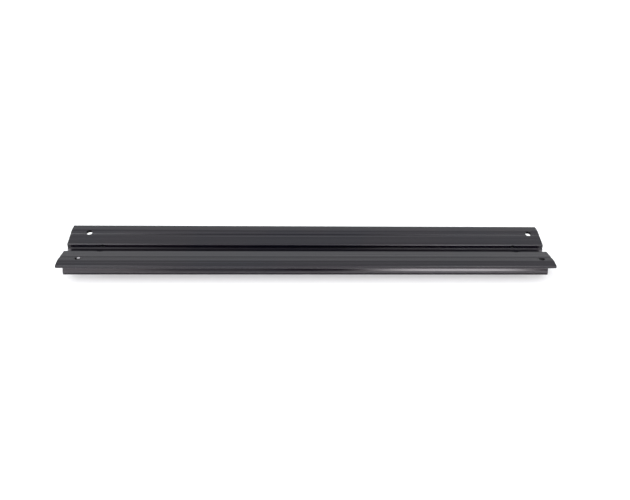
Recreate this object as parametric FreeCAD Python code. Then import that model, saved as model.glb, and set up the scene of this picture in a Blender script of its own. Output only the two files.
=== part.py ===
import FreeCAD, Part

import math
import os

# One length of extruded aluminium bar with a dovetail foot, two wings and a V trough.
# Frame: X runs along the bar, Y across it, Z up. The origin is at mid length, on the
# mid plane, at the level of the foot. All sizes are in millimetres and degrees.
# The section is the same on both sides of the mid plane, and a name that ends in half
# is a distance from that plane.

# Overall sizes
bar_length = 495.0
bar_height = 21.9
wing_span = 71.6
foot_width = 44.0

# Dovetail flanks and legs
foot_land = 2.0          # upright edge below each flank
dovetail_angle = 60.0    # flank to base
neck_height = 7.0        # where the flank meets the leg
shoulder_rise = 2.3      # from the neck up to the shoulder
shoulder_step = 0.6      # how far the shoulder stands out of the neck
leg_lean = 1.7           # how far the leg leans in from its shoulder to the wing

# Wings
crest_half = 28.2
crest_radius = 26.0
crest_thickness = 3.35
tip_thickness = 3.0
tip_radius = 0.8
root_thickness = 4.05
tip_fall_angle = 3.8     # top face from the crest out to the tip
crest_rise_angle = 15.6  # top face where it leaves the step and starts up to the crest
step_angle = 40.0        # short steep step between that face and the shelf
step_rise = 0.46
knee_inset = 3.8         # underside knee lies this much nearer the mid plane than the crest
knee_radius = 8.0
shelf_drop = 1.5         # how far the foot of the step lies below the crest
shelf_width = 3.05
shelf_angle = 3.0        # slight fall of the shelf towards the saddle
shelf_radius = 2.0       # where the shelf turns down into the saddle
saddle_angle = 10.7      # top face from the shelf down to the trough

# Trough on top, channel below and the web between them
trough_width = 10.8
trough_rim_radius = 1.3
trough_wall_depth = 3.5  # upright part of each wall
ledge_width = 1.0        # slanting ledge below it
ledge_drop = 1.25
trough_floor_width = 5.4
web_thickness = 2.1
channel_width = 10.6
channel_height = 6.9

# Hollow chamber in each leg
foot_plate = 3.2
inner_wall = 3.0
roof_thickness = 3.85
leg_wall_top = 4.7
leg_wall_base = 5.3

# Corner radii of the die
edge_radius = 0.4
corner_radius = 0.6
ledge_radius = 0.4
neck_radius = 0.8
least_straight = 0.0001  # two roundings nearer to each other than this run into one another

# Holes, each set out from the nearer end
wing_hole_diameter = 6.4
wing_hole_from_tip = 12.8
wing_hole_from_left_end = 19.0
wing_hole_from_right_end = 11.5
web_hole_diameter = 6.6
relief_diameter = 13.2   # shallow relief round the mouth of each web hole
relief_depth = 3.0       # from the trough's rim
relief_offset = 0.8      # off the mid plane, so that it takes in only the front rim
web_hole_from_left_end = 35.6
web_hole_from_right_end = 32.4
drill_overrun = 1.0      # how far a drill runs past the face that it leaves


def slope(angle):
    return math.tan(math.radians(angle))


# Stations of the section that follow from the sizes above
foot_half = foot_width / 2.0
neck_half = foot_half - (neck_height - foot_land) / slope(dovetail_angle)
shoulder_half = neck_half + shoulder_step
leg_top_half = shoulder_half - leg_lean
tip_half = wing_span / 2.0
trough_half = trough_width / 2.0
channel_half = channel_width / 2.0
trough_floor_height = channel_height + web_thickness

# The crest's sharp corner lies outside its rounding, whose top is the bar's height
crest_half_turn = math.radians(tip_fall_angle + crest_rise_angle) / 2.0
crest_lean = math.radians(crest_rise_angle - tip_fall_angle) / 2.0
crest_reach = crest_radius / math.cos(crest_half_turn)
crest_corner_half = crest_half - crest_reach * math.sin(crest_lean)
crest_corner_height = bar_height - crest_radius + crest_reach * math.cos(crest_lean)

tip_height = crest_corner_height - (tip_half - crest_corner_half) * slope(tip_fall_angle)
shelf_outer_height = bar_height - shelf_drop
step_height = shelf_outer_height + step_rise
step_half = crest_corner_half - (crest_corner_height - step_height) / slope(crest_rise_angle)
shelf_outer_half = step_half - step_rise / slope(step_angle)
shelf_inner_half = shelf_outer_half - shelf_width
shelf_inner_height = shelf_outer_height - shelf_width * slope(shelf_angle)
root_height = shelf_outer_height - root_thickness


def saddle_height(half):
    """Height of the saddle, the sloping top face beside the trough."""
    return shelf_inner_height - (shelf_inner_half - half) * slope(saddle_angle)


rim_height = saddle_height(trough_half)


def foot_corners():
    """From the channel's roof round the foot and up the flank to the wing's root."""
    return [
        (channel_half, channel_height, corner_radius),
        (channel_half, 0.0, edge_radius),
        (foot_half, 0.0, edge_radius),
        (foot_half, foot_land, edge_radius),
        (neck_half, neck_height, neck_radius),
        (shoulder_half, neck_height + shoulder_rise, neck_radius),
        (leg_top_half, root_height, neck_radius),
    ]


def wing_corners():
    """Out along the wing's underside, round its tip and back over its top to the trough."""
    return [
        (crest_half - knee_inset, crest_corner_height - crest_thickness, knee_radius),
        (tip_half, tip_height - tip_thickness, tip_radius),
        (tip_half, tip_height, tip_radius),
        (crest_corner_half, crest_corner_height, crest_radius),
        (step_half, step_height, edge_radius),
        (shelf_outer_half, shelf_outer_height, edge_radius),
        (shelf_inner_half, shelf_inner_height, shelf_radius),
    ]


def trough_corners():
    """Over the trough's rim, down its upright wall, over the ledge and down to the floor."""
    ledge_height = rim_height - trough_wall_depth
    return [
        (trough_half, rim_height, trough_rim_radius),
        (trough_half, ledge_height, ledge_radius),
        (trough_half - ledge_width, ledge_height - ledge_drop, ledge_radius),
        (trough_floor_width / 2.0, trough_floor_height, corner_radius),
    ]


def chamber_corners():
    """The hollow in one leg, with its roof parallel to the saddle."""
    inner_half = channel_half + inner_wall
    base_half = foot_half - leg_wall_base
    top_half = leg_top_half - leg_wall_top
    return [
        (inner_half, foot_plate, corner_radius),
        (base_half, foot_plate, corner_radius),
        (top_half, saddle_height(top_half) - roof_thickness, corner_radius),
        (inner_half, saddle_height(inner_half) - roof_thickness, corner_radius),
    ]


def mirrored(corners):
    """The same corners on the other side of the mid plane, in the opposite order."""
    return [(-y, z, radius) for y, z, radius in reversed(corners)]


def corner_sides(corners, i):
    """A corner's place, and its sides to the corners before and after it."""
    count = len(corners)
    before, corner, after = corners[i - 1], corners[i % count], corners[(i + 1) % count]
    point = FreeCAD.Vector(0, corner[0], corner[1])
    back = FreeCAD.Vector(0, before[0], before[1]) - point
    ahead = FreeCAD.Vector(0, after[0], after[1]) - point
    return point, back, ahead


def wanted_setback(corners, i):
    """How far from a corner the arc of its full radius starts."""
    point, back, ahead = corner_sides(corners, i)
    return corners[i][2] / math.tan(back.getAngle(ahead) / 2.0)


def rounded_corner(corners, i):
    """Start, middle and end of the arc that rounds a corner of an outline.

    Two arcs on a side too short for both of them share it as their own setbacks ask.
    """
    point, back, ahead = corner_sides(corners, i)
    half_angle = back.getAngle(ahead) / 2.0
    wanted = wanted_setback(corners, i)
    share_back = wanted / (wanted + wanted_setback(corners, i - 1))
    share_ahead = wanted / (wanted + wanted_setback(corners, (i + 1) % len(corners)))
    setback = min(wanted, back.Length * share_back, ahead.Length * share_ahead)
    radius = setback * math.tan(half_angle)
    back.normalize()
    ahead.normalize()
    inward = (back + ahead).normalize()
    middle = point + inward * (radius / math.sin(half_angle) - radius)
    return point + back * setback, middle, point + ahead * setback


def prism(corners):
    """A bar of the full length whose section is the rounded outline."""
    count = len(corners)
    arcs = [rounded_corner(corners, i) for i in range(count)]
    edges = []
    for i in range(count):
        start, middle, end = arcs[i]
        next_start = arcs[(i + 1) % count][0]
        edges.append(Part.Arc(start, middle, end).toShape())
        if not end.isEqual(next_start, least_straight):
            edges.append(Part.LineSegment(end, next_start).toShape())
    section = Part.Face(Part.Wire(edges))
    section.translate(FreeCAD.Vector(-bar_length / 2.0, 0, 0))
    return section.extrude(FreeCAD.Vector(bar_length, 0, 0))


def drill(diameter, x, y, bottom, top):
    """An upright cutter between two heights."""
    foot = FreeCAD.Vector(x, y, bottom)
    return Part.makeCylinder(diameter / 2.0, top - bottom, foot)


def extrusion():
    """The solid as it leaves the die, with its two chambers."""
    half_outline = foot_corners() + wing_corners() + trough_corners()
    solid = prism(half_outline + mirrored(half_outline))
    return solid.cut([prism(chamber_corners()), prism(mirrored(chamber_corners()))])


def wing_hole_cutters():
    """One plain hole through each wing near each end."""
    hole_half = tip_half - wing_hole_from_tip
    above = bar_height + drill_overrun
    below = root_height - drill_overrun
    left = wing_hole_from_left_end - bar_length / 2.0
    right = bar_length / 2.0 - wing_hole_from_right_end
    cutters = []
    for x in (left, right):
        for y in (-hole_half, hole_half):
            cutters.append(drill(wing_hole_diameter, x, y, below, above))
    return cutters


def web_hole_cutters():
    """A hole through the web near each end, with a shallow relief at the trough's rim."""
    above = bar_height + drill_overrun
    below = channel_height - drill_overrun
    left = web_hole_from_left_end - bar_length / 2.0
    right = bar_length / 2.0 - web_hole_from_right_end
    cutters = []
    for x in (left, right):
        cutters.append(drill(relief_diameter, x, -relief_offset, rim_height - relief_depth, above))
        cutters.append(drill(web_hole_diameter, x, 0, below, above))
    return cutters


def dovetail_bar():
    return extrusion().cut(wing_hole_cutters() + web_hole_cutters())


os.makedirs("parts", exist_ok=True)
bar = dovetail_bar()
bar.exportStep("parts/dovetail_bar.step")
print("dovetail_bar", bar.ShapeType, "solids", len(bar.Solids), "valid", bar.isValid())
print("volume mm3", round(bar.Volume, 1), "box", bar.BoundBox)
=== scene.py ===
import math

import bmesh
import bpy
from mathutils import Matrix, Vector


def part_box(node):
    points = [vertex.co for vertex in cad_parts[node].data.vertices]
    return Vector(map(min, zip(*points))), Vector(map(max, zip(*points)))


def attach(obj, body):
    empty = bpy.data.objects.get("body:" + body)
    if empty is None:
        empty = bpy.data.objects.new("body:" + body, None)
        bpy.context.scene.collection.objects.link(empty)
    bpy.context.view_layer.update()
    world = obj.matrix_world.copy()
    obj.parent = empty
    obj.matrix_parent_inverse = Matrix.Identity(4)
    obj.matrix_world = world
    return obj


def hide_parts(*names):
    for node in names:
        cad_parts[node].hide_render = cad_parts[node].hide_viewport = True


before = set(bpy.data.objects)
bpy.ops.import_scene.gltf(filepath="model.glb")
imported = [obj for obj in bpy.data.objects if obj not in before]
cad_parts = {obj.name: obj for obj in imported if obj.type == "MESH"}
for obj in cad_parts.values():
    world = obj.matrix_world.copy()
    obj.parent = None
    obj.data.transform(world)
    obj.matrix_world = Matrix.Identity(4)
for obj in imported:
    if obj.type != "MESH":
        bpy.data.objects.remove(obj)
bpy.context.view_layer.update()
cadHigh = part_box("dovetail_bar")[1]
scene = bpy.context.scene
scene.view_settings.view_transform = "Standard"
mm = 0.001
print("frame loaded")


# Camera

photoCamera = {
    "frameWidth": 630,           # pixels of the photograph
    "focalLength": 648.9,        # in the same pixels
    "place": (-0.02297, -0.54571, 0.40630),
    "pitchDown": 35.58,
    "yawRight": 3.07,
    "roll": -1.902,
}


def makeCamera(cfg):
    pitch, yaw, roll = (math.radians(cfg[k]) for k in ("pitchDown", "yawRight", "roll"))
    ahead = Vector((math.sin(yaw) * math.cos(pitch), math.cos(yaw) * math.cos(pitch), -math.sin(pitch)))
    levelRight = Vector((math.cos(yaw), -math.sin(yaw), 0))
    levelDown = ahead.cross(levelRight)
    right = math.cos(roll) * levelRight + math.sin(roll) * levelDown
    down = math.cos(roll) * levelDown - math.sin(roll) * levelRight
    data = bpy.data.cameras.new("photoCamera")
    data.sensor_fit = "HORIZONTAL"
    data.sensor_width = 36.0
    data.lens = cfg["focalLength"] * data.sensor_width / cfg["frameWidth"]
    data.clip_start = 0.01
    camera = bpy.data.objects.new("photoCamera", data)
    turn = Matrix((right, -down, -ahead)).transposed().to_4x4()
    camera.matrix_world = Matrix.Translation(cfg["place"]) @ turn
    scene.collection.objects.link(camera)
    scene.camera = camera


makeCamera(photoCamera)
print("camera placed")


# Small helpers for node trees

def newTree(material):
    material.use_nodes = True
    tree = material.node_tree
    tree.nodes.clear()
    return tree


def addNode(tree, kind, **settings):
    node = tree.nodes.new(kind)
    inputs = settings.pop("inputs", {})
    for key, value in settings.items():
        setattr(node, key, value)
    for key, value in inputs.items():
        if isinstance(value, bpy.types.NodeSocket):
            tree.links.new(value, node.inputs[key])
        else:
            node.inputs[key].default_value = value
    return node


# The bar's mesh. The section is given by its sharp corners on one side of the mid plane,
# each with the radius that rounds it, in millimetres.

barShape = {
    "foot": [(5.3, 6.9, 0.6), (5.3, 0.0, 0.4), (22.0, 0.0, 0.4), (22.0, 2.0, 5.5)],
    "flank": [(19.11, 7.0, 0.8), (19.71, 9.3, 0.8), (18.01, 16.35, 0.8)],
    "wing": [(24.4, 18.79, 8.0), (35.8, 18.45, 0.8), (35.8, 21.45, 0.8), (25.49, 22.14, 26.0),
             (20.91, 20.86, 0.4), (20.36, 20.4, 0.4), (17.31, 20.24, 2.0)],
    "trough": [(5.4, 17.99, 1.3), (5.4, 14.49, 0.4), (4.4, 13.24, 0.4), (2.7, 9.0, 0.6)],
    "chamber": [(8.3, 3.2, 0.6), (16.7, 3.2, 0.6), (13.31, 15.63, 0.6), (8.3, 14.69, 0.6)],
    "arcStep": 5.0,              # degrees between two points of a rounding
    "deburr": 0.18,              # chamfer on the sawn ends and round the holes
    "deburrEase": 0.3,           # share of the chamfer at its middle ring, which rounds it a little
    "mouthAngle": 30.0,          # an edge of a hole is softened where it turns by more than this
    "mouthReach": 0.06,          # how near a hole's wall an edge or a face has to lie to be its own
    "mouthSteps": 2,
    "endFacing": 0.95,           # how squarely a face on the saw cut looks along the bar
    "sideFacing": 0.2,           # below this much of a way, a face doesn't look that way
    "weld": 0.0001,
    "sharpAngle": 35.0,
}
holeShape = {
    "wingDiameter": 6.4,
    "wingHalf": 23.0,            # from the mid plane
    "wingFromEnds": (19.0, 11.5),
    "webDiameter": 6.6,
    "webFromEnds": (35.6, 32.4),
    "reliefDiameter": 13.2,
    "reliefOffset": 0.8,         # towards the front
    "reliefHeight": 14.99,
    "wingDrillEnd": 14.0,        # the drills stop in the open air below the wings and the web
    "webDrillEnd": 5.0,
    "overrun": 1.0,              # above the crest
    "sides": 72,
}


def wantedSetback(corners, i):
    y, z, radius = corners[i % len(corners)]
    back = Vector(corners[(i - 1) % len(corners)][:2]) - Vector((y, z))
    ahead = Vector(corners[(i + 1) % len(corners)][:2]) - Vector((y, z))
    return radius / math.tan(back.angle(ahead) / 2)


def roundedOutline(corners, arcStep):
    points = []
    for i, (y, z, radius) in enumerate(corners):
        corner = Vector((y, z))
        back = Vector(corners[i - 1][:2]) - corner
        ahead = Vector(corners[(i + 1) % len(corners)][:2]) - corner
        halfAngle = back.angle(ahead) / 2
        wanted = wantedSetback(corners, i)
        # two roundings that share a side too short for both divide it as they need it
        setback = min(wanted, back.length * wanted / (wanted + wantedSetback(corners, i - 1)),
                      ahead.length * wanted / (wanted + wantedSetback(corners, i + 1)))
        arcRadius = setback * math.tan(halfAngle)
        inward = (back.normalized() + ahead.normalized()).normalized()
        centre = corner + inward * arcRadius / math.sin(halfAngle)
        start = corner + back.normalized() * setback - centre
        end = corner + ahead.normalized() * setback - centre
        steps = max(2, math.ceil(math.degrees(start.angle(end)) / arcStep))
        sweep = start.angle_signed(end)
        for k in range(steps + 1):
            turn = Matrix.Rotation(-sweep * k / steps, 2)
            points.append(centre + turn @ start)
    return points


def bothSides(halfCorners):
    return halfCorners + [(-y, z, r) for y, z, r in reversed(halfCorners)]


def outwardNormals(points):
    normals = []
    for i, point in enumerate(points):
        along = (points[(i + 1) % len(points)] - points[i - 1]).normalized()
        normals.append(Vector((along.y, -along.x)))
    return normals


def sweptSolid(name, points, rings):
    # rings are (x, offset) pairs: the outline grown outward by the offset at that x, in mm
    normals = outwardNormals(points)
    bm = bmesh.new()
    loops = []
    for x, grow in rings:
        loop = []
        for point, normal in zip(points, normals):
            place = point + normal * grow
            loop.append(bm.verts.new((x * mm, place.x * mm, place.y * mm)))
        loops.append(loop)
    count = len(points)
    for first, second in zip(loops, loops[1:]):
        for i in range(count):
            j = (i + 1) % count
            bm.faces.new((first[i], first[j], second[j], second[i]))
    bm.faces.new(list(reversed(loops[0])))
    bm.faces.new(loops[-1])
    bmesh.ops.recalc_face_normals(bm, faces=bm.faces)
    mesh = bpy.data.meshes.new(name)
    bm.to_mesh(mesh)
    bm.free()
    solid = bpy.data.objects.new(name, mesh)
    scene.collection.objects.link(solid)
    return solid


def drill(name, diameter, x, y, low, high, sides):
    bm = bmesh.new()
    bmesh.ops.create_cone(bm, cap_ends=True, segments=sides, radius1=diameter * mm / 2,
                          radius2=diameter * mm / 2, depth=(high - low) * mm)
    bmesh.ops.translate(bm, verts=bm.verts, vec=(x * mm, y * mm, (low + high) * mm / 2))
    mesh = bpy.data.meshes.new(name)
    bm.to_mesh(mesh)
    bm.free()
    cutter = bpy.data.objects.new(name, mesh)
    scene.collection.objects.link(cutter)
    return cutter


def cutAway(target, cutters):
    for cutter in cutters:
        step = target.modifiers.new("cut", "BOOLEAN")
        step.operation = "DIFFERENCE"
        step.solver = "EXACT"
        step.object = cutter
    graph = bpy.context.evaluated_depsgraph_get()
    mesh = bpy.data.meshes.new_from_object(target.evaluated_get(graph))
    target.modifiers.clear()
    target.data = mesh
    for cutter in cutters:
        bpy.data.objects.remove(cutter)


def holePlaces(cfg):
    half = cadHigh.x / mm
    wing = [(cfg["wingFromEnds"][0] - half, side) for side in (-cfg["wingHalf"], cfg["wingHalf"])]
    wing += [(half - cfg["wingFromEnds"][1], side) for side in (-cfg["wingHalf"], cfg["wingHalf"])]
    web = [(cfg["webFromEnds"][0] - half, 0.0), (half - cfg["webFromEnds"][1], 0.0)]
    return wing, web


def makeBar(shape, holes):
    half = cadHigh.x / mm
    top = cadHigh.z / mm + holes["overrun"]
    burr = shape["deburr"]
    ease = burr * shape["deburrEase"]
    corners = bothSides(shape["foot"] + shape["flank"] + shape["wing"] + shape["trough"])
    outer = roundedOutline(corners, shape["arcStep"])
    rings = [(-half, -burr), (-half + ease, -ease), (-half + burr, 0)]
    rings += [(-x, grow) for x, grow in reversed(rings)]
    bar = sweptSolid("dovetailBar", outer, rings)
    cutters = []
    flare = [(-half - burr, burr * 2), (-half, burr), (-half + burr, 0)]
    flare += [(-x, grow) for x, grow in reversed(flare)]
    for side in (1, -1):
        chamber = [(y * side, z, r) for y, z, r in shape["chamber"]][::side]
        cutters.append(sweptSolid("chamberCutter", roundedOutline(chamber, shape["arcStep"]), flare))
    wingPlaces, webPlaces = holePlaces(holes)
    for x, y in wingPlaces:
        cutters.append(drill("wingDrill", holes["wingDiameter"], x, y, holes["wingDrillEnd"], top,
                             holes["sides"]))
    for x, y in webPlaces:
        cutters.append(drill("reliefDrill", holes["reliefDiameter"], x, y - holes["reliefOffset"],
                             holes["reliefHeight"], top, holes["sides"]))
        cutters.append(drill("webDrill", holes["webDiameter"], x, y, holes["webDrillEnd"], top,
                             holes["sides"]))
    cutAway(bar, cutters)
    return bar


bar = makeBar(barShape, holeShape)
print("bar mesh", len(bar.data.vertices), "points")


# Softened hole mouths, and the finish of each face

finishes = ["blackAnodised", "sawnEnd", "drilledWall", "deburredEdge"]


def offHoleWall(place, holes):
    # how far a place lies from the nearest wall of a hole, seen from above
    wingPlaces, webPlaces = holePlaces(holes)
    wanted = [(x, y, holes["wingDiameter"]) for x, y in wingPlaces]
    wanted += [(x, y, holes["webDiameter"]) for x, y in webPlaces]
    wanted += [(x, y - holes["reliefOffset"], holes["reliefDiameter"]) for x, y in webPlaces]
    return min(abs(math.hypot(place.x / mm - x, place.y / mm - y) - diameter / 2)
               for x, y, diameter in wanted)


def softenMouths(bm, shape, holes):
    mouths = []
    for edge in bm.edges:
        if len(edge.link_faces) != 2 or edge.calc_face_angle(0) < math.radians(shape["mouthAngle"]):
            continue
        if offHoleWall((edge.verts[0].co + edge.verts[1].co) / 2, holes) < shape["mouthReach"]:
            mouths.append(edge)
    made = bmesh.ops.bevel(bm, geom=mouths, offset=shape["deburr"] * mm, segments=shape["mouthSteps"],
                           profile=0.5, affect="EDGES", clamp_overlap=False)
    return set(made["faces"])


def sortFaces(bm, softened, shape, holes):
    endX = cadHigh.x - shape["deburr"] * mm / 2
    chamferX = cadHigh.x - shape["deburr"] * mm
    for face in bm.faces:
        middle = face.calc_center_median()
        face.smooth = True
        if face in softened:
            face.material_index = finishes.index("deburredEdge")
        elif abs(face.normal.x) > shape["endFacing"] and abs(middle.x) > endX:
            face.material_index = finishes.index("sawnEnd")
        elif abs(face.normal.x) > shape["sideFacing"] and abs(middle.x) > chamferX:
            face.material_index = finishes.index("deburredEdge")
        elif abs(face.normal.z) < shape["sideFacing"] and offHoleWall(middle, holes) < shape["mouthReach"]:
            face.material_index = finishes.index("drilledWall")


def layAcross(bm):
    # one texture direction across the bar for every face: the die lines spread the gloss that way
    layer = bm.loops.layers.uv.new("across")
    for face in bm.faces:
        flat = abs(face.normal.z) > abs(face.normal.y)
        for loop in face.loops:
            place = loop.vert.co
            loop[layer].uv = (place.y if flat else place.z, place.x)


def finishMesh(bar, shape, holes):
    bm = bmesh.new()
    bm.from_mesh(bar.data)
    bmesh.ops.remove_doubles(bm, verts=bm.verts, dist=shape["weld"] * mm)
    softened = softenMouths(bm, shape, holes)
    bm.normal_update()
    sortFaces(bm, softened, shape, holes)
    layAcross(bm)
    openEdges = sum(1 for edge in bm.edges if not edge.is_manifold)
    print("bar mesh has", len(bm.faces), "faces and", openEdges, "open edges")
    bm.to_mesh(bar.data)
    bm.free()
    bar.data.set_sharp_from_angle(angle=math.radians(shape["sharpAngle"]))
    weights = bar.modifiers.new("faceWeights", "WEIGHTED_NORMAL")
    weights.keep_sharp = True
    weights.weight = 100


finishMesh(bar, barShape, holeShape)


# The effects that the finishes are made of, each a group with named sockets

def newGroup(name, inputs, outputs):
    group = bpy.data.node_groups.new(name, "ShaderNodeTree")
    for label, kind, value in inputs:
        socket = group.interface.new_socket(label, in_out="INPUT", socket_type=kind)
        if value is not None:
            socket.default_value = value
    for label, kind in outputs:
        group.interface.new_socket(label, in_out="OUTPUT", socket_type=kind)
    return group, group.nodes.new("NodeGroupInput"), group.nodes.new("NodeGroupOutput")


def placeGroup(tree, group, **values):
    node = tree.nodes.new("ShaderNodeGroup")
    node.node_tree = group
    for label, value in values.items():
        if isinstance(value, bpy.types.NodeSocket):
            tree.links.new(value, node.inputs[label])
        else:
            node.inputs[label].default_value = value
    return node


def calc(tree, operation, *values):
    return addNode(tree, "ShaderNodeMath", operation=operation,
                   inputs=dict(enumerate(values))).outputs[0]


def span(tree, value, edges):
    # 1 between the two inner edges, falling softly to 0 at the outer ones
    up = addNode(tree, "ShaderNodeMapRange", interpolation_type="SMOOTHSTEP", inputs={
        "Value": value, "From Min": edges[0], "From Max": edges[1]})
    down = addNode(tree, "ShaderNodeMapRange", interpolation_type="SMOOTHSTEP", inputs={
        "Value": value, "From Min": edges[2], "From Max": edges[3], "To Min": 1.0, "To Max": 0.0})
    return calc(tree, "MULTIPLY", up.outputs[0], down.outputs[0])


def makeDieLines():
    # streaks that the die leaves along the whole length, fine ones within broad ones
    group, given, result = newGroup("dieLines", [
        ("Fine", "NodeSocketFloat", 1100.0), ("Broad", "NodeSocketFloat", 260.0),
        ("Drift", "NodeSocketFloat", 3.0), ("Contrast", "NodeSocketFloat", 1.0)],
        [("Mask", "NodeSocketFloat"), ("Height", "NodeSocketFloat")])
    detail, fineHeight = 2.0, 0.25
    place = addNode(group, "ShaderNodeTexCoord").outputs["Object"]
    streaksAndPaintedBands = []
    for label in ("Fine", "Broad"):
        stretch = addNode(group, "ShaderNodeCombineXYZ", inputs={
            0: given.outputs["Drift"], 1: given.outputs[label], 2: given.outputs[label]})
        stretched = addNode(group, "ShaderNodeVectorMath", operation="MULTIPLY",
                            inputs={0: place, 1: stretch.outputs[0]})
        noise = addNode(group, "ShaderNodeTexNoise",
                        inputs={"Vector": stretched.outputs[0], "Scale": 1.0, "Detail": detail})
        streaksAndPaintedBands.append(noise.outputs["Fac"])
    halves = [calc(group, "MULTIPLY", streakAndPaintedBand, 0.5) for streakAndPaintedBand in streaksAndPaintedBands]
    both = calc(group, "ADD", *halves)
    centred = calc(group, "MULTIPLY", calc(group, "SUBTRACT", both, 0.5), given.outputs["Contrast"])
    mask = calc(group, "ADD", centred, 0.5)
    mask.node.use_clamp = True
    group.links.new(mask, result.inputs["Mask"])
    height = calc(group, "ADD", streaksAndPaintedBands[1], calc(group, "MULTIPLY", streaksAndPaintedBands[0], fineHeight))
    group.links.new(height, result.inputs["Height"])
    return group


def makeEtchGrain():
    # the fine tooth of etched metal
    group, given, result = newGroup("etchGrain", [
        ("Size", "NodeSocketFloat", 0.00025), ("Roughness", "NodeSocketFloat", 0.6)],
        [("Height", "NodeSocketFloat")])
    place = addNode(group, "ShaderNodeTexCoord").outputs["Object"]
    scale = calc(group, "DIVIDE", 1.0, given.outputs["Size"])
    grain = addNode(group, "ShaderNodeTexNoise", inputs={
        "Vector": place, "Scale": scale, "Detail": 3.0, "Roughness": given.outputs["Roughness"]})
    group.links.new(grain.outputs["Fac"], result.inputs["Height"])
    return group


def makeDyeDrift():
    # the dye takes a little differently along the bar: slow patches between two tints
    group, given, result = newGroup("dyeDrift", [
        ("Color", "NodeSocketColor", (0.015, 0.014, 0.022, 1)),
        ("Other Color", "NodeSocketColor", (0.02, 0.015, 0.022, 1)),
        ("Patch", "NodeSocketFloat", 0.07), ("Amount", "NodeSocketFloat", 1.0)],
        [("Color", "NodeSocketColor")])
    thin, full = 0.4, 0.6        # the noise from which the other tint starts and where it is full
    place = addNode(group, "ShaderNodeTexCoord").outputs["Object"]
    scale = calc(group, "DIVIDE", 1.0, given.outputs["Patch"])
    patches = addNode(group, "ShaderNodeTexNoise", inputs={"Vector": place, "Scale": scale, "Detail": 2.0})
    spread = addNode(group, "ShaderNodeMapRange", interpolation_type="SMOOTHSTEP", inputs={
        "Value": patches.outputs["Fac"], "From Min": thin, "From Max": full,
        "To Max": given.outputs["Amount"]})
    mixed = addNode(group, "ShaderNodeMix", data_type="RGBA", inputs={0: spread.outputs[0]})
    group.links.new(given.outputs["Color"], mixed.inputs[6])
    group.links.new(given.outputs["Other Color"], mixed.inputs[7])
    group.links.new(mixed.outputs[2], result.inputs["Color"])
    return group


def makeToolMarks():
    # the uneven ridges that a blade or a drill leaves, one after another along the given way
    group, given, result = newGroup("toolMarks", [
        ("Way", "NodeSocketFloat", 0.0), ("Pitch", "NodeSocketFloat", 0.0006),
        ("Waver", "NodeSocketFloat", 0.4)],
        [("Mask", "NodeSocketFloat"), ("Height", "NodeSocketFloat")])
    perRidge = 0.35              # turns of the uneven noise in one ridge
    turns = calc(group, "DIVIDE", given.outputs["Way"], given.outputs["Pitch"])
    uneven = addNode(group, "ShaderNodeTexNoise", noise_dimensions="1D",
                     inputs={"W": turns, "Scale": perRidge, "Detail": 2.0}).outputs["Fac"]
    bent = calc(group, "ADD", turns, calc(group, "MULTIPLY", uneven, given.outputs["Waver"]))
    ridge = calc(group, "SINE", calc(group, "MULTIPLY", bent, 2 * math.pi))
    ridge = calc(group, "ADD", calc(group, "MULTIPLY", ridge, 0.5), 0.5)
    mask = calc(group, "MULTIPLY", calc(group, "ADD", ridge, uneven), 0.5)
    group.links.new(mask, result.inputs["Mask"])
    group.links.new(ridge, result.inputs["Height"])
    return group


def makeRubbed():
    # where the finish is rubbed thin: a soft spot round a place, broken up by a fine noise
    group, given, result = newGroup("rubbed", [
        ("Place", "NodeSocketVector", None), ("Reach", "NodeSocketFloat", 0.002),
        ("Broken", "NodeSocketFloat", 0.5)],
        [("Mask", "NodeSocketFloat")])
    noiseScale, bareWithin, soundBeyond = 1500.0, 0.75, 1.1
    here = addNode(group, "ShaderNodeTexCoord").outputs["Object"]
    away = addNode(group, "ShaderNodeVectorMath", operation="DISTANCE",
                   inputs={0: here, 1: given.outputs["Place"]}).outputs["Value"]
    fine = addNode(group, "ShaderNodeTexNoise",
                   inputs={"Vector": here, "Scale": noiseScale, "Detail": 2.0}).outputs["Fac"]
    ragged = calc(group, "MULTIPLY", calc(group, "SUBTRACT", fine, 0.5), given.outputs["Broken"])
    share = calc(group, "ADD", calc(group, "DIVIDE", away, given.outputs["Reach"]), ragged)
    soft = addNode(group, "ShaderNodeMapRange", interpolation_type="SMOOTHSTEP", inputs={
        "Value": share, "From Min": bareWithin, "From Max": soundBeyond, "To Min": 1.0, "To Max": 0.0})
    group.links.new(soft.outputs[0], result.inputs["Mask"])
    return group


dieLines = makeDieLines()
etchGrain = makeEtchGrain()
dyeDrift = makeDyeDrift()
toolMarks = makeToolMarks()
rubbed = makeRubbed()
print("effects made")


# The bar's finishes

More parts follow.
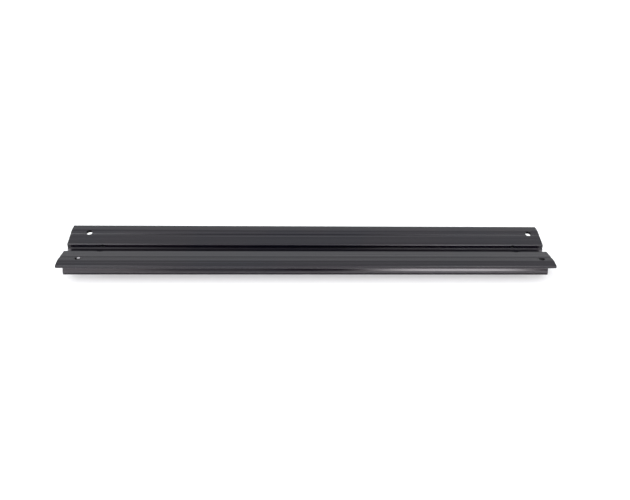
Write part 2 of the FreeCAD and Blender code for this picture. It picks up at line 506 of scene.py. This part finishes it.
skinLook = {
    "dyeAndPaintedShade": (0.0105, 0.0098, 0.0145, 1),
    "otherDye": (0.0125, 0.0105, 0.0145, 1),
    "roughness": (0.14, 0.24),   # where the die lines are smooth and where they are rough
    "flankTop": 7.2,             # the flanks lie below this height, in mm
    "jawBand": (3.5, 4.7, 5.5, 6.3),     # a clamp has polished them between these heights
    "flankRoughness": (0.30, 0.10),      # beside that band and on it
    "flankLines": 0.5,           # share of the die lines' gloss that is left on the flanks
    "ior": 1.45,
    "anisotropy": 0.5,
    "grainSize": 0.00022,
    "bumpDepth": 0.00006,
    "grainShare": 0.02,
    "lineContrast": 1.6,
    "lineShift": 0.010,          # how much paler or darker the die lines make the dye
    "darkest": 0.002,
    # broad bands that run the whole length, paler ones a painted highlight and darker ones painted shade:
    # y of the middle and half the width in mm, and how much paler or darker the dye is painted there
    # the band at 6.15 mm is a painted highlight on the far rim, those at 5.35 mm painted shade on the
    # trough's walls
    "streaksAndPaintedBands": [(28.1, 1.4, 0.014), (25.1, 1.2, -0.007), (22.9, 1.4, 0.005), (18.0, 1.2, 0.012),
                (15.9, 1.2, -0.005), (7.4, 1.2, -0.006), (6.15, 0.6, 0.018), (5.35, 0.4, -0.010),
                (-5.35, 0.4, -0.010), (-10.6, 2.6, 0.013), (-16.4, 2.2, 0.024), (-20.9, 2.4, -0.010),
                (-26.2, 1.6, 0.016), (-28.9, 1.2, -0.005), (-30.9, 1.2, 0.008)],
    "paintedBandsAbove": 14.0,        # mm up from the foot
}


def newFinish(name):
    material = bpy.data.materials.new(name)
    tree = newTree(material)
    shader = addNode(tree, "ShaderNodeBsdfPrincipled")
    addNode(tree, "ShaderNodeOutputMaterial", inputs={"Surface": shader.outputs["BSDF"]})
    return material, tree, shader


def makePaintedBands(tree, streaksAndPaintedBands, above):
    # the sum of the painted highlight and painted shade bands at this place across the bar, on its upper
    # faces alone
    place = addNode(tree, "ShaderNodeSeparateXYZ",
                    inputs={0: addNode(tree, "ShaderNodeTexCoord").outputs["Object"]})
    across = place.outputs["Y"]
    total = 0.0
    for middle, halfWidth, shift in streaksAndPaintedBands:
        away = calc(tree, "ABSOLUTE", calc(tree, "SUBTRACT", across, middle * mm))
        streakAndPaintedBand = addNode(tree, "ShaderNodeMapRange", interpolation_type="SMOOTHSTEP", inputs={
            "Value": away, "From Min": 0.0, "From Max": halfWidth * mm, "To Min": shift, "To Max": 0.0})
        total = calc(tree, "ADD", streakAndPaintedBand.outputs[0], total)
    return calc(tree, "MULTIPLY", total, calc(tree, "GREATER_THAN", place.outputs["Z"], above * mm))


def shiftColour(tree, colour, shift, darkest):
    moved = addNode(tree, "ShaderNodeVectorMath", operation="ADD", inputs={0: colour, 1: shift})
    kept = addNode(tree, "ShaderNodeVectorMath", operation="MAXIMUM",
                   inputs={0: moved.outputs[0], 1: (darkest,) * 3})
    return kept.outputs[0]


def flankGloss(tree, rough, look):
    # polished along the middle of the flanks, where a clamp bears on them, and matt beside that
    height = addNode(tree, "ShaderNodeSeparateXYZ",
                     inputs={0: addNode(tree, "ShaderNodeTexCoord").outputs["Object"]}).outputs["Z"]
    polished = span(tree, height, [z * mm for z in look["jawBand"]])
    flank = addNode(tree, "ShaderNodeMapRange", inputs={
        "Value": polished, "To Min": look["flankRoughness"][0],
        "To Max": look["flankRoughness"][1]}).outputs[0]
    lines = calc(tree, "SUBTRACT", rough, sum(look["roughness"]) / 2)
    flank = calc(tree, "ADD", flank, calc(tree, "MULTIPLY", lines, look["flankLines"]))
    below = calc(tree, "LESS_THAN", height, look["flankTop"] * mm)
    mixed = addNode(tree, "ShaderNodeMix", data_type="FLOAT", inputs={0: below, 2: rough, 3: flank})
    return mixed.outputs[0]


def makeSkin(look):
    material, tree, shader = newFinish("blackAnodised")
    lines = placeGroup(tree, dieLines, Contrast=look["lineContrast"])
    grain = placeGroup(tree, etchGrain, Size=look["grainSize"])
    dyeAndPaintedShade = placeGroup(tree, dyeDrift, **{"Color": look["dyeAndPaintedShade"], "Other Color": look["otherDye"]})
    rough = addNode(tree, "ShaderNodeMapRange", inputs={
        "Value": lines.outputs["Mask"], "To Min": look["roughness"][0], "To Max": look["roughness"][1]})
    tooth = calc(tree, "MULTIPLY", grain.outputs["Height"], look["grainShare"])
    height = calc(tree, "ADD", lines.outputs["Height"], tooth)
    bump = addNode(tree, "ShaderNodeBump", inputs={
        "Strength": 1.0, "Distance": look["bumpDepth"], "Height": height})
    lineShift = calc(tree, "SUBTRACT", lines.outputs["Mask"], 0.5)
    lineShift = calc(tree, "MULTIPLY", lineShift, look["lineShift"] * 2)
    # the die lines shift the dye a little, and the bands add painted highlight and painted shade
    shift = calc(tree, "ADD", lineShift, makePaintedBands(tree, look["streaksAndPaintedBands"], look["paintedBandsAbove"]))
    colour = shiftColour(tree, dyeAndPaintedShade.outputs["Color"], shift, look["darkest"])
    tree.links.new(colour, shader.inputs["Base Color"])
    tree.links.new(flankGloss(tree, rough.outputs[0], look), shader.inputs["Roughness"])
    tree.links.new(bump.outputs[0], shader.inputs["Normal"])
    tangent = addNode(tree, "ShaderNodeTangent", direction_type="UV_MAP", uv_map="across")
    tree.links.new(tangent.outputs[0], shader.inputs["Tangent"])
    shader.inputs["IOR"].default_value = look["ior"]
    shader.inputs["Anisotropic"].default_value = look["anisotropy"]
    return material


endLook = {
    "dyeAndPaintedShade": (0.012, 0.0112, 0.0165, 1),
    "otherDye": (0.030, 0.0285, 0.034, 1),
    "sawCentre": (95.0, -140.0),     # y and z of the blade's middle, in mm
    "pitch": 0.0009,                 # from one saw mark to the next
    "waver": 1.5,
    "roughness": (0.28, 0.46),
    "depth": 0.00003,
}
holeLook = {
    # darker than the skin's dye: painted shade inside the holes
    "dyeAndPaintedShade": (0.004, 0.0038, 0.005, 1),
    "bare": (0.50, 0.49, 0.51, 1),
    "rubbedAt": (-229.2, -19.8, 20.1),   # on the back of the front left hole's wall, in mm
    "rubbedReach": 0.0019,
    "broken": 0.5,
    "pitch": 0.0003,                 # from one drill mark to the next
    "waver": 0.6,
    "roughness": (0.22, 0.34),
    "depth": 0.000008,
    "specular": 0.25,                # the walls of a hole reflect less than the skin
}
edgeLook = {
    "dyeAndPaintedShade": (0.014, 0.0135, 0.018, 1),
    "worn": (0.055, 0.053, 0.056, 1),
    "wearScale": 260.0,
    "wear": (0.52, 0.72),            # from no wear to full wear
    "roughness": 0.3,
    "roughnessSpread": 0.1,
}


def fillShader(tree, shader, colour, rough, height, depth):
    bump = addNode(tree, "ShaderNodeBump", inputs={"Strength": 1.0, "Distance": depth, "Height": height})
    tree.links.new(colour, shader.inputs["Base Color"])
    tree.links.new(rough, shader.inputs["Roughness"])
    tree.links.new(bump.outputs[0], shader.inputs["Normal"])


def blendColour(tree, share, first, second):
    mixed = addNode(tree, "ShaderNodeMix", data_type="RGBA", inputs={0: share})
    for socket, colour in ((mixed.inputs[6], first), (mixed.inputs[7], second)):
        if isinstance(colour, bpy.types.NodeSocket):
            tree.links.new(colour, socket)
        else:
            socket.default_value = colour
    return mixed.outputs[2]


def makeSawnEnd(look):
    material, tree, shader = newFinish("sawnEnd")
    place = addNode(tree, "ShaderNodeTexCoord").outputs["Object"]
    flat = addNode(tree, "ShaderNodeVectorMath", operation="MULTIPLY", inputs={0: place, 1: (0, 1, 1)})
    centre = (0, look["sawCentre"][0] * mm, look["sawCentre"][1] * mm)
    way = addNode(tree, "ShaderNodeVectorMath", operation="DISTANCE",
                  inputs={0: flat.outputs[0], 1: centre}).outputs["Value"]
    marks = placeGroup(tree, toolMarks, Way=way, Pitch=look["pitch"], Waver=look["waver"])
    colour = blendColour(tree, marks.outputs["Mask"], look["dyeAndPaintedShade"], look["otherDye"])
    rough = addNode(tree, "ShaderNodeMapRange", inputs={
        "Value": marks.outputs["Mask"], "To Min": look["roughness"][0], "To Max": look["roughness"][1]})
    fillShader(tree, shader, colour, rough.outputs[0], marks.outputs["Height"], look["depth"])
    return material


def makeDrilledWall(look):
    material, tree, shader = newFinish("drilledWall")
    place = addNode(tree, "ShaderNodeTexCoord").outputs["Object"]
    way = addNode(tree, "ShaderNodeSeparateXYZ", inputs={0: place}).outputs["Z"]
    marks = placeGroup(tree, toolMarks, Way=way, Pitch=look["pitch"], Waver=look["waver"])
    bare = placeGroup(tree, rubbed, Place=tuple(v * mm for v in look["rubbedAt"]),
                      Reach=look["rubbedReach"], Broken=look["broken"]).outputs["Mask"]
    # the dark colour is painted shade inside the hole, and the rubbed spot shows bare metal
    colour = blendColour(tree, bare, look["dyeAndPaintedShade"], look["bare"])
    rough = addNode(tree, "ShaderNodeMapRange", inputs={
        "Value": marks.outputs["Mask"], "To Min": look["roughness"][0], "To Max": look["roughness"][1]})
    tree.links.new(bare, shader.inputs["Metallic"])
    shader.inputs["Specular IOR Level"].default_value = look["specular"]
    fillShader(tree, shader, colour, rough.outputs[0], marks.outputs["Height"], look["depth"])
    return material


def makeDeburredEdge(look):
    material, tree, shader = newFinish("deburredEdge")
    place = addNode(tree, "ShaderNodeTexCoord").outputs["Object"]
    patches = addNode(tree, "ShaderNodeTexNoise",
                      inputs={"Vector": place, "Scale": look["wearScale"], "Detail": 3.0}).outputs["Fac"]
    wear = addNode(tree, "ShaderNodeMapRange", interpolation_type="SMOOTHSTEP", inputs={
        "Value": patches, "From Min": look["wear"][0], "From Max": look["wear"][1]}).outputs[0]
    grain = placeGroup(tree, etchGrain, Size=skinLook["grainSize"])
    rough = calc(tree, "ADD", calc(tree, "MULTIPLY", patches, look["roughnessSpread"]), look["roughness"])
    colour = blendColour(tree, wear, look["dyeAndPaintedShade"], look["worn"])
    depth = skinLook["bumpDepth"] * skinLook["grainShare"]
    fillShader(tree, shader, colour, rough, grain.outputs["Height"], depth)
    return material


# in the order of the list of finishes
for material in (makeSkin(skinLook), makeSawnEnd(endLook), makeDrilledWall(holeLook),
                 makeDeburredEdge(edgeLook)):
    bar.data.materials.append(material)
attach(bar, "root")
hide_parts("dovetail_bar")
print("bar finished")


# The studio: white floor, and a plain bright room with softer and darker places in it

studio = {
    "floorHalf": 6.0,
    "floorDrop": 0.02,           # mm below the foot, so that the two never share a plane
    "paper": 0.85,
    "glow": 0.26,
    "mirroredGlow": 0.12,
    "roomLight": 0.64,
    "lowTint": (1.02, 0.97, 1.01, 1),    # the light is a touch rosy near the front horizon
    "highTint": (0.975, 0.995, 1.01, 1),  # and a touch cold above it
    "tintRise": (30, 60),
    # each place in the room spans so much along the bar, as the x of a direction, and so much in
    # degrees up from the front horizon and over to the back: start, full, full, end
    "places": {
        "ceiling": {"along": (-2, -1.5, 1.5, 2), "rise": (92, 108, 124, 136), "light": 0.92},
        "backWall": {"along": (-2, -1.5, 1.5, 2), "rise": (145, 150, 158, 180), "light": 0.82},
        "backSill": {"along": (-2, -1.5, 1.5, 2), "rise": (167, 174, 190, 200), "light": 0.48},
        "sideLeft": {"along": (-3, -2, -0.85, -0.6), "rise": (-10, 0, 180, 190), "light": 0.8},
        "sideRight": {"along": (0.6, 0.85, 2, 3), "rise": (-10, 0, 180, 190), "light": 0.8},
        "boxLeft": {"along": (-0.8, -0.5, -0.27, -0.15), "rise": (40, 56, 88, 119), "light": 4.6},
        "boxRight": {"along": (0.13, 0.27, 0.38, 0.5), "rise": (40, 58, 88, 108), "light": 3.6},
        "darkFront": {"along": (-0.26, -0.15, 0.05, 0.18), "rise": (12, 20, 82, 104), "light": 0.05},
        "lowStrip": {"along": (0.09, 0.21, 0.32, 0.37), "rise": (17.5, 21, 26, 30), "light": 12.6},
        "lowMiddle": {"along": (-0.3, -0.22, -0.05, 0.01), "rise": (8, 13, 24, 31), "light": 0.75},
        "horizon": {"along": (-2, -1.5, 1.5, 2), "rise": (1, 5, 11, 19), "light": 4.2},
        "lowLeft": {"along": (-0.6, -0.38, -0.27, -0.16), "rise": (2, 7, 17, 26), "light": 5.2},
    },
}


def makeFloor(cfg):
    bm = bmesh.new()
    bmesh.ops.create_grid(bm, x_segments=1, y_segments=1, size=cfg["floorHalf"])
    mesh = bpy.data.meshes.new("studioFloor")
    bm.to_mesh(mesh)
    bm.free()
    floor = bpy.data.objects.new("studioFloor", mesh)
    floor.location.z = -cfg["floorDrop"] * mm
    scene.collection.objects.link(floor)
    material = bpy.data.materials.new("whitePaper")
    tree = newTree(material)
    shade = (cfg["paper"],) * 3 + (1,)
    diffuse = addNode(tree, "ShaderNodeBsdfDiffuse", inputs={"Color": shade})
    rays = addNode(tree, "ShaderNodeLightPath")
    mirrored = calc(tree, "MAXIMUM", rays.outputs["Is Glossy Ray"], rays.outputs["Is Transmission Ray"])
    seen = calc(tree, "MULTIPLY", rays.outputs["Is Camera Ray"], cfg["glow"])
    seen = calc(tree, "ADD", seen, calc(tree, "MULTIPLY", mirrored, cfg["mirroredGlow"]))
    glow = addNode(tree, "ShaderNodeEmission", inputs={"Strength": seen})
    both = addNode(tree, "ShaderNodeAddShader", inputs={0: diffuse.outputs[0], 1: glow.outputs[0]})
    addNode(tree, "ShaderNodeOutputMaterial", inputs={"Surface": both.outputs[0]})
    mesh.materials.append(material)


def makeRoom(cfg):
    world = bpy.data.worlds.new("studioRoom")
    scene.world = world
    tree = newTree(world)
    way = addNode(tree, "ShaderNodeSeparateXYZ",
                  inputs={0: addNode(tree, "ShaderNodeTexCoord").outputs["Generated"]})
    forward = calc(tree, "MULTIPLY", way.outputs["Y"], -1.0)
    rise = calc(tree, "MULTIPLY", calc(tree, "ARCTAN2", way.outputs["Z"], forward), math.degrees(1))
    light = cfg["roomLight"]
    for place in cfg["places"].values():
        mask = calc(tree, "MULTIPLY", span(tree, way.outputs["X"], place["along"]),
                    span(tree, rise, place["rise"]))
        light = addNode(tree, "ShaderNodeMix", data_type="FLOAT",
                        inputs={0: mask, 2: light, 3: place["light"]}).outputs[0]
    rays = addNode(tree, "ShaderNodeLightPath")
    strength = addNode(tree, "ShaderNodeMix", data_type="FLOAT",
                       inputs={0: rays.outputs["Is Camera Ray"], 2: light, 3: 1.0}).outputs[0]
    height = addNode(tree, "ShaderNodeMapRange", interpolation_type="SMOOTHSTEP", inputs={
        "Value": rise, "From Min": cfg["tintRise"][0], "From Max": cfg["tintRise"][1]}).outputs[0]
    tint = blendColour(tree, height, cfg["lowTint"], cfg["highTint"])
    tint = blendColour(tree, rays.outputs["Is Camera Ray"], tint, (1, 1, 1, 1))
    glow = addNode(tree, "ShaderNodeBackground", inputs={"Color": tint, "Strength": strength})
    addNode(tree, "ShaderNodeOutputWorld", inputs={"Surface": glow.outputs[0]})


makeFloor(studio)
makeRoom(studio)
print("studio lit")
